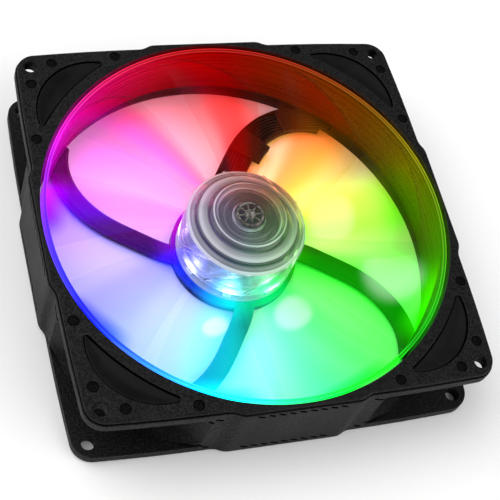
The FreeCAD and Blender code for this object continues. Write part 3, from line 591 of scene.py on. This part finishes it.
def plain_plastic(name, colour, rough):
    """Moulded plastic or lacquer with faint clouds, fine skin and edges lightened as a painted highlight."""
    g = Graph(name)
    at = g.position()
    clouds = g.noise(at, 140.0, 4.0, 0.6)
    skin = g.noise(at, 3800.0, 2.0, 0.5)
    edge, soft = g.edges(0.0002)
    dark = tuple(c * 0.75 for c in colour[:3]) + (1.0,)
    light = tuple(min(1.0, c * 1.4 + 0.01) for c in colour[:3]) + (1.0,)
    tone = g.mix(g.remap(clouds, 0.35, 0.7), colour, dark)
    # painted highlight: a lighter tone on the sharp edges
    tone = g.mix(g.math("MULTIPLY", edge, 0.6), tone, light)
    roughness = g.remap(clouds, 0.3, 0.7, rough * 0.85, rough * 1.15)
    normal = g.bump(skin, 0.00001, 0.5, soft)
    return g.finish(g.principled(base_color=tone, roughness=roughness, normal=normal))


def led_resin():
    """Lit package: white case round a glowing window in the colour of its place."""
    g = Graph("led_resin")
    polar = Polar(g)
    colour = glow_colour(g, polar.angle, RING_BEND)
    speckle = g.noise(g.position(), 3000.0, 2.0)
    pale = g.mix(0.55, colour, rgb(1, 1, 1))
    power = g.remap(speckle, 0.3, 0.7, 0.9, 1.6)
    case = g.principled(base_color=rgb(0.85, 0.86, 0.86), roughness=0.35)
    top = g.remap(polar.z, LED_TOP - 0.35, LED_TOP - 0.02)
    return g.finish(g.layered(top, case, g.emission(pale, power)))


def dress(material, *names):
    for name in names:
        slots = NODES[name].data.materials
        slots.clear()
        slots.append(material)


def dress_cad_nodes():
    dress(housing_plastic(), "frame")
    dress(impeller_plastic(), "impeller")
    dress(led_resin(), "leds")
    dress(metal("ground_steel", rgb(0.6, 0.6, 0.62), 0.22, (1, 1, 6)), "shaft")
    dress(metal("zinc_plate", rgb(0.16, 0.15, 0.14), 0.5), "rotor_yoke")
    dress(metal("core_laminations", rgb(0.3, 0.3, 0.31), 0.4, (0.2, 0.2, 9)), "stator_core")
    dress(metal("turned_brass", rgb(0.78, 0.6, 0.3), 0.25, (1, 1, 8)), "shaft_bush", "bearing_tube")
    dress(metal("sintered_bronze", rgb(0.55, 0.38, 0.22), 0.5), "sleeve_bearing")
    dress(metal("gold_pins", rgb(0.85, 0.66, 0.3), 0.25), "socket_pins")
    dress(plain_plastic("ferrite", rgb(0.03, 0.028, 0.026), 0.6), "magnet_ring")
    dress(plain_plastic("white_nylon", rgb(0.75, 0.75, 0.72), 0.45), "oil_seal", "thrust_plate",
          "retaining_ring", "lower_insulator", "upper_insulator")
    dress(plain_plastic("green_board", rgb(0.02, 0.14, 0.06), 0.3), "motor_board")
    dress(plain_plastic("white_board", rgb(0.75, 0.76, 0.76), 0.35), "led_board")
    dress(plain_plastic("chip_epoxy", rgb(0.012, 0.012, 0.012), 0.45), "hall_sensor", "driver_chip")
    dress(plain_plastic("ceramic_tan", rgb(0.4, 0.28, 0.17), 0.4), "capacitors")
    dress(plain_plastic("socket_black", rgb(0.01, 0.01, 0.011), 0.3), "lead_socket")
    dress(plain_plastic("label_foil", rgb(0.012, 0.012, 0.013), 0.35), "rear_label")


# ---- Pieces built as meshes -----------------------------------------------------------------
def add_piece(name, body, material, vertices, faces, sharp=40.0):
    """Mesh object from points in millimetres, smooth except at edges sharper than the given angle."""
    mesh = bpy.data.meshes.new(name)
    mesh.from_pydata([(x * MM, y * MM, z * MM) for x, y, z in vertices], [], faces)
    work = bmesh.new()
    work.from_mesh(mesh)
    bmesh.ops.recalc_face_normals(work, faces=work.faces)
    work.to_mesh(mesh)
    work.free()
    mesh.shade_smooth()
    mesh.set_sharp_from_angle(angle=math.radians(sharp))
    mesh.materials.append(material)
    piece = bpy.data.objects.new(name, mesh)
    bpy.context.scene.collection.objects.link(piece)
    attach(piece, body)
    return piece


def skin(sections):
    """Vertices and faces of a closed body through closed loops of equal length, capped at both ends."""
    count = len(sections[0])
    vertices = [point for section in sections for point in section]
    faces = []
    for i in range(len(sections) - 1):
        for j in range(count):
            k = (j + 1) % count
            faces.append((i * count + j, i * count + k, (i + 1) * count + k, (i + 1) * count + j))
    last = (len(sections) - 1) * count
    faces.append(tuple(range(count)))
    faces.append(tuple(last + j for j in range(count)))
    return vertices, faces


def closed_faces(rows, columns):
    """Faces of a grid of points that closes on itself both ways."""
    faces = []
    for i in range(rows):
        k = (i + 1) % rows
        for j in range(columns):
            m = (j + 1) % columns
            faces.append((i * columns + j, i * columns + m, k * columns + m, k * columns + j))
    return faces


def joined(bodies):
    """Vertices and faces of several bodies in one list."""
    vertices = []
    faces = []
    for points, polygons in bodies:
        first = len(vertices)
        vertices.extend(points)
        faces.extend(tuple(first + i for i in polygon) for polygon in polygons)
    return vertices, faces


def turned(point, degrees):
    """The point after a turn round the axis."""
    x, y, z = point
    a = math.radians(degrees)
    return (x * math.cos(a) - y * math.sin(a), x * math.sin(a) + y * math.cos(a), z)


# ---- Soft crescent pads ---------------------------------------------------------------------
PAD_TOP = DEPTH - 0.3
PAD_EDGE = 0.55             # radius of the rolled edge
PAD_TIP = 0.965             # share of the half length at which the tips are rounded off
PAD_DISH = 0.95
PAD_STEPS = 48
ROLL_ANGLES = (0, 18, 36, 54, 72, 90)


def pad_width_points(width):
    """Width of the rolled edge and distances across the pad, close together at its rolled edges."""
    edge = min(PAD_EDGE, width * 0.45)
    rolled = [edge * (1 - math.cos(math.radians(a))) for a in ROLL_ANGLES]
    middle = [edge + (width - 2 * edge) * i / 12 for i in range(1, 12)]
    return edge, rolled + middle + [width - d for d in reversed(rolled)]


def pad_height(distance, width, edge, along):
    """Top of the pad: rolled edges, and a dish that is deepest nearer the intake."""
    near = min(distance, width - distance)
    roll = edge - math.sqrt(max(0.0, edge ** 2 - max(0.0, edge - near) ** 2))
    share = distance / width
    dish = math.sin(math.pi * share ** 0.8) ** 1.5 * (1 - along ** 2) * min(1.0, width / 6.0)
    return PAD_TOP - roll - PAD_DISH * dish


def pad_section(along):
    """Closed loop across the crescent at a share of its half length, in a frame along the diagonal."""
    tip_u = (PAD_INNER_RADIUS ** 2 - PAD_ARC_RADIUS ** 2 + PAD_ARC_CENTRE ** 2) / (2 * PAD_ARC_CENTRE)
    tip_v = math.sqrt(PAD_INNER_RADIUS ** 2 - tip_u ** 2)
    inner = along * math.asin(tip_v / PAD_INNER_RADIUS)
    outer = along * math.atan2(tip_v, tip_u - PAD_ARC_CENTRE)
    start = Vector((PAD_INNER_RADIUS * math.cos(inner), PAD_INNER_RADIUS * math.sin(inner)))
    end = Vector((PAD_ARC_CENTRE + PAD_ARC_RADIUS * math.cos(outer), PAD_ARC_RADIUS * math.sin(outer)))
    width = (end - start).length
    across = (end - start) / width
    edge, distances = pad_width_points(width)
    floor = DEPTH - PAD_POCKET_DEPTH
    top = [(start + across * d).to_tuple() + (pad_height(d, width, edge, along),) for d in distances]
    bottom = [(start + across * d).to_tuple() + (floor,) for d in reversed(distances[::4])]
    return top + bottom


def add_pads(material):
    shares = [PAD_TIP * math.sin(math.pi / 2 * (2 * i / PAD_STEPS - 1)) for i in range(PAD_STEPS + 1)]
    sections = [pad_section(share) for share in shares]
    for number in range(1, 5):
        angle = 45.0 + 90.0 * (number - 1)
        front = [[turned(p, angle) for p in section] for section in sections]
        rear = [[(x, y, DEPTH - z) for x, y, z in section] for section in front]
        for side, loops in (("front", front), ("rear", rear)):
            vertices, faces = skin(loops)
            pad = add_piece("%s_corner_pad_%d" % (side, number), "housing", material, vertices, faces)
            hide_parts("%s_pad_%d" % (side, number))


# ---- Leads ----------------------------------------------------------------------------------
# centre line of the struts: (radius in mm, degrees); the leads follow the one a quarter turn back
STRUT_PATH = ((13.0, 181.0), (21.0, 177.5), (33.0, 167.0), (46.0, 160.0), (58.0, 152.0), (69.5, 138.0))
LEAD_STEPS = 160
LEAD_RADIUS = 0.46
LEAD_TIP_RADIUS = 0.3
BARE_RADIUS = 0.2
LEAD_PITCH = 1.15
LEAD_Z = 3.15
LEAD_END_Z = 5.2            # height of the pins of the socket
LEAD_CLIMB = 0.84           # share of the length at which the leads start to climb to it
LEAD_END_X = 53.9
LED_LEAD_START = 19.2       # distances from the axis at which the leads end on their boards
MOTOR_LEAD_START = 16.2


def curve_points(points, steps):
    """Points on a smooth curve through the given ones, the same number in each stretch."""
    result = []
    ends = [points[0] * 2 - points[1]] + points + [points[-1] * 2 - points[-2]]
    for i in range(len(points) - 1):
        a, b, c, d = ends[i:i + 4]
        for k in range(steps):
            t = k / steps
            result.append(((2 * b) + (c - a) * t + (2 * a - 5 * b + 4 * c - d) * t ** 2
                           + (3 * b - a - 3 * c + d) * t ** 3) / 2)
    return result + [points[-1]]


def evenly_spaced(points, steps):
    """Points at even distances along the line through the given ones."""
    lengths = [0.0]
    for p, q in zip(points, points[1:]):
        lengths.append(lengths[-1] + (q - p).length)
    result = []
    k = 0
    for i in range(steps + 1):
        want = lengths[-1] * i / steps
        while k < len(points) - 2 and lengths[k + 1] < want:
            k += 1
        share = (want - lengths[k]) / (lengths[k + 1] - lengths[k])
        result.append(points[k].lerp(points[k + 1], share))
    return result


def lead_centre_line():
    """Line from the hub along a strut and then straight to the socket."""
    path = [Vector(turned((radius, 0.0, 0.0), degrees - 90.0)) for radius, degrees in STRUT_PATH]
    path.append(Vector((56.0, path[-1].y + 0.2, 0.0)))
    return evenly_spaced(curve_points(path, 20), LEAD_STEPS)


def tube(centres, radius, sides=10):
    """Closed pipe through the given points; radius is a function of the point's number."""
    sections = []
    for i, centre in enumerate(centres):
        ahead = centres[min(i + 1, len(centres) - 1)]
        behind = centres[max(i - 1, 0)]
        along = (ahead - behind).normalized()
        side = along.cross(Vector((0, 0, 1))).normalized()
        up = side.cross(along)
        sections.append([centre + side * radius(i) * math.cos(math.tau * j / sides)
                         + up * radius(i) * math.sin(math.tau * j / sides) for j in range(sides)])
    return skin(sections)


def lead_height(share):
    """Height of the leads at a share of their length."""
    rise = min(1.0, max(0.0, (share - LEAD_CLIMB) / (1 - LEAD_CLIMB)))
    return LEAD_Z + (LEAD_END_Z - LEAD_Z) * rise * rise * (3 - 2 * rise)


def lead(line, number, start_radius, chance):
    """One insulated wire beside the centre line, slightly uneven, with its bare end at the board."""
    offset = (number - 3) * LEAD_PITCH
    phase = chance.uniform(0, math.tau)
    last = len(line) - 1
    centres = []
    for i, spot in enumerate(line):
        along = (line[min(i + 1, last)] - line[max(i - 1, 0)]).normalized()
        beside = Vector((-along.y, along.x, 0.0))
        sway = 0.05 * math.sin(phase + i * 0.35)
        centre = spot + beside * (offset + sway)
        centre.z = lead_height(i / last) + 0.04 * math.sin(phase * 2 + i * 0.28)
        if spot.length > start_radius and centre.x < LEAD_END_X:
            centres.append(centre)
    jacket = tube(centres, lambda i: LEAD_RADIUS if i else LEAD_TIP_RADIUS)
    bare_end = centres[0] + (centres[0] - centres[3]) * 0.9
    return joined([jacket, tube([bare_end, centres[1]], lambda i: BARE_RADIUS, 8)])


def add_leads(material):
    line = lead_centre_line()
    chance = random.Random(7)
    for name, node, numbers, start in (("led_wires", "led_leads", range(0, 3), LED_LEAD_START),
                                       ("motor_wires", "motor_leads", range(3, 7), MOTOR_LEAD_START)):
        vertices, faces = joined([lead(line, number, start, chance) for number in numbers])
        wires = add_piece(name, "housing", material, vertices, faces, 50.0)
        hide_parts(node)


# ---- Windings -------------------------------------------------------------------------------
COIL_START = 6.6
COIL_END = 10.8
COIL_HALF_WIDTH = 3.7
COIL_BOTTOM = 5.0
COIL_TOP = 14.8
COIL_TURNS = 10
COIL_CORNER = 0.8


def rounded_loop(x, half, bottom, top, lean=0.0):
    """Rounded rectangle round a stator arm at a distance x from the axis."""
    inner_y = half - COIL_CORNER
    low = bottom + COIL_CORNER
    high = top - COIL_CORNER
    points = []
    for y, z, first in ((inner_y, high, 0), (-inner_y, high, 90), (-inner_y, low, 180), (inner_y, low, 270)):
        for step in range(5):
            a = math.radians(first + step * 22.5)
            points.append(Vector((x, y + COIL_CORNER * math.cos(a), z + COIL_CORNER * math.sin(a))))
    count = len(points)
    for i, point in enumerate(points):
        point.x += lean * math.cos(math.tau * i / count)
    return points


def ring_tube(loop, radius, sides=7):
    """Closed ring of wire along a loop that lies across the X axis."""
    count = len(loop)
    side = Vector((1, 0, 0))
    vertices = []
    for i in range(count):
        along = (loop[(i + 1) % count] - loop[i - 1]).normalized()
        up = side.cross(along).normalized()
        for j in range(sides):
            turn = math.tau * j / sides
            vertices.append(loop[i] + side * radius * math.cos(turn) + up * radius * math.sin(turn))
    return vertices, closed_faces(count, sides)


def winding(chance):
    """Turns of enamelled wire over a filled core, all round the +X arm."""
    wire = (COIL_END - COIL_START) / COIL_TURNS / 2
    inner = COIL_HALF_WIDTH - wire
    low = COIL_BOTTOM + wire
    high = COIL_TOP - wire
    bodies = [skin([rounded_loop(x, inner, low, high) for x in (COIL_START + wire, COIL_END - wire)])]
    for turn in range(COIL_TURNS):
        x = COIL_START + wire * (2 * turn + 1)
        tight = chance.uniform(0.0, 0.08)
        loop = rounded_loop(x, inner - tight, low + tight, high - tight, lean=0.06)
        bodies.append(ring_tube(loop, wire * 1.02))
    return joined(bodies)


def add_windings(material):
    chance = random.Random(3)
    for number in range(1, 5):
        vertices, faces = winding(chance)
        vertices = [turned(point, 90.0 * (number - 1)) for point in vertices]
        coil = add_piece("winding_%d" % number, "housing", material, vertices, faces, 60.0)
        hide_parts("coil_%d" % number)


# ---- Ribbed core on the hub -----------------------------------------------------------------
CORE_BASE = 26.8            # just inside the top of the hub's boss
RIB_COUNT = 8
# outlines as (radius, height) in mm
CORE_RING = ((3.9, CORE_BASE), (3.9, 27.3), (4.05, 27.45), (4.5, 27.45), (4.7, 27.2), (4.75, CORE_BASE))
CORE_PIP = ((1.9, CORE_BASE), (1.85, 27.35), (1.6, 27.65), (1.2, 27.78), (0.8, 27.75), (0.55, 27.55),
            (0.3, 27.5))
CORE_RIB = ((1.7, 27.2), (2.3, 27.3), (3.3, 27.3), (4.1, 27.2))


def circle(radius, z, count):
    return [turned((radius, 0.0, z), 360.0 * i / count) for i in range(count)]


def core_ring():
    """Closed ring of revolution with rounded edges."""
    count = 96
    vertices = [point for radius, z in CORE_RING for point in circle(radius, z, count)]
    return vertices, closed_faces(len(CORE_RING), count)


def core_pip():
    """Domed pip in the middle with a small dimple."""
    return skin([circle(radius, z, 64) for radius, z in CORE_PIP])


def core_rib(angle):
    """Small radial rib, narrow and rounded along its top."""
    sections = []
    for radius, top in CORE_RIB:
        half = 0.16 + 0.03 * radius
        loop = ((radius, -half, CORE_BASE), (radius, -half, top - 0.12), (radius, -half * 0.6, top),
                (radius, half * 0.6, top), (radius, half, top - 0.12), (radius, half, CORE_BASE))
        sections.append([turned(point, angle) for point in loop])
    return skin(sections)


def core_plastic():
    """Dark smoky plastic with turning marks, catching sharp highlights."""
    g = Graph("core_plastic")
    at = g.position()
    marks = g.noise(at, 900.0, 3.0, 0.6)
    dust = g.noise(at, 4000.0, 2.0, 0.5)
    tone = g.mix(g.remap(marks, 0.35, 0.65), rgb(0.03, 0.026, 0.022), rgb(0.22, 0.2, 0.18))
    rough = g.remap(dust, 0.3, 0.7, 0.12, 0.3)
    return g.finish(g.principled(base_color=tone, roughness=rough, normal=g.bump(marks, 0.00004, 0.6)))


def add_hub_core():
    ribs = [core_rib(360.0 * i / RIB_COUNT) for i in range(RIB_COUNT)]
    vertices, faces = joined([core_ring(), core_pip()] + ribs)
    add_piece("hub_core", "rotor", core_plastic(), vertices, faces, 35.0)


# ---- Studio ---------------------------------------------------------------------------------
FLOOR_HALF = 3.0            # metres, as all sizes of the studio
FLOOR_GAP = 0.0002
WORLD_LIGHT = 0.4           # strength of the surroundings as light, and as the camera sees them
WORLD_SEEN = 1.0
# soft lamps: name, place, size, watts
SOFTBOXES = (("key", (-0.5, 0.3, 0.9), 1.1, 9.8), ("fill", (0.6, -0.5, 0.7), 0.9, 4.8))
GLOW_LIGHT_COUNT = 12
GLOW_CIRCLE = 0.045
GLOW_HEIGHT = 0.008
GLOW_SIZE = (0.036, 0.020)
CAMERA_PLACE = (-0.14729, -0.21048, 0.38377)
CAMERA_TURN = (31.601, -14.315, -14.201)
CAMERA_LENS = 96.9


def floor_material():
    """Matt white paint; far from the object it brightens by itself, so that no horizon shows."""
    g = Graph("floor_paint")
    tone = g.mix(g.noise(g.position(), 20.0, 3.0), rgb(0.92, 0.92, 0.92), rgb(0.95, 0.95, 0.95))
    away = g.node("VectorMath", {0: g.position()}, operation="LENGTH").outputs["Value"]
    return g.finish(g.principled(
        base_color=tone, roughness=0.9, specular_ior_level=0.0, emission_color=rgb(1, 1, 1),
        emission_strength=g.remap(away, 0.45, 1.3, 0.0, 0.7, smooth=True)))


def add_floor():
    mesh = bpy.data.meshes.new("floor")
    z = cad_box[0].z - FLOOR_GAP
    corners = [(x * FLOOR_HALF, y * FLOOR_HALF, z) for x, y in ((-1, -1), (1, -1), (1, 1), (-1, 1))]
    mesh.from_pydata(corners, [], [(0, 1, 2, 3)])
    mesh.materials.append(floor_material())
    floor = bpy.data.objects.new("floor", mesh)
    bpy.context.scene.collection.objects.link(floor)


def add_world():
    """Even white surroundings that the camera sees brighter than they shine."""
    world = bpy.data.worlds.new("studio")
    world.use_nodes = True
    nodes = world.node_tree.nodes
    links = world.node_tree.links
    background = nodes["Background"]
    background.inputs["Color"].default_value = rgb(1, 1, 1)
    strength = nodes.new("ShaderNodeMapRange")
    strength.inputs["To Min"].default_value = WORLD_LIGHT
    strength.inputs["To Max"].default_value = WORLD_SEEN
    ray = nodes.new("ShaderNodeLightPath")
    links.new(ray.outputs["Is Camera Ray"], strength.inputs["Value"])
    links.new(strength.outputs[0], background.inputs["Strength"])
    bpy.context.scene.world = world


def area_lamp(name, place, size, watts):
    data = bpy.data.lights.new(name, "AREA")
    data.shape = "RECTANGLE"
    data.size, data.size_y = size
    data.energy = watts
    lamp = bpy.data.objects.new(name, data)
    lamp.location = place
    bpy.context.scene.collection.objects.link(lamp)
    return lamp


def add_softboxes():
    for name, place, size, watts in SOFTBOXES:
        lamp = area_lamp(name, place, (size, size), watts)
        lamp.rotation_euler = (-Vector(place)).to_track_quat("-Z", "Y").to_euler()


def wheel_colour(degrees):
    """The colour of the disc's glow in the given direction, as a plain colour."""
    size, toward = DISC_BEND
    bend = size * math.cos(math.radians(degrees - toward))
    pure = colorsys.hsv_to_rgb(((WHEEL_START - degrees - bend) / 360.0) % 1.0, 1.0, 1.0)
    return tuple(c ** SCREEN_GAMMA for c in pure)


def add_glow_lights():
    """Lamps without a visible body that throw the impeller's colours down on the floor."""
    for number in range(GLOW_LIGHT_COUNT):
        degrees = (number + 0.5) * 360.0 / GLOW_LIGHT_COUNT
        place = turned((GLOW_CIRCLE, 0.0, GLOW_HEIGHT), degrees)
        watts = 0.0025 + 0.0012 * math.cos(math.radians(degrees - 55.0))
        lamp = area_lamp("glow_%d" % (number + 1), place, GLOW_SIZE, watts)
        lamp.data.color = wheel_colour(degrees)
        lamp.rotation_euler.z = math.radians(degrees)
        lamp.visible_camera = False
        lamp.visible_glossy = False


def add_camera():
    data = bpy.data.cameras.new("camera")
    data.sensor_width = 36.0
    data.lens = CAMERA_LENS
    data.clip_start = 0.01
    camera = bpy.data.objects.new("camera", data)
    camera.location = CAMERA_PLACE
    camera.rotation_euler = [math.radians(a) for a in CAMERA_TURN]
    bpy.context.scene.collection.objects.link(camera)
    bpy.context.scene.camera = camera


def set_look():
    scene = bpy.context.scene
    scene.view_settings.view_transform = "Standard"
    scene.cycles.transparent_max_bounces = 32


dress_cad_nodes()
add_pads(pad_rubber())
add_leads(plain_plastic("lead_jacket", rgb(0.008, 0.008, 0.009), 0.35))
add_windings(metal("enamelled_copper", rgb(0.6, 0.24, 0.1), 0.3))
add_hub_core()
add_floor()
add_world()
add_softboxes()
add_glow_lights()
add_camera()
set_look()
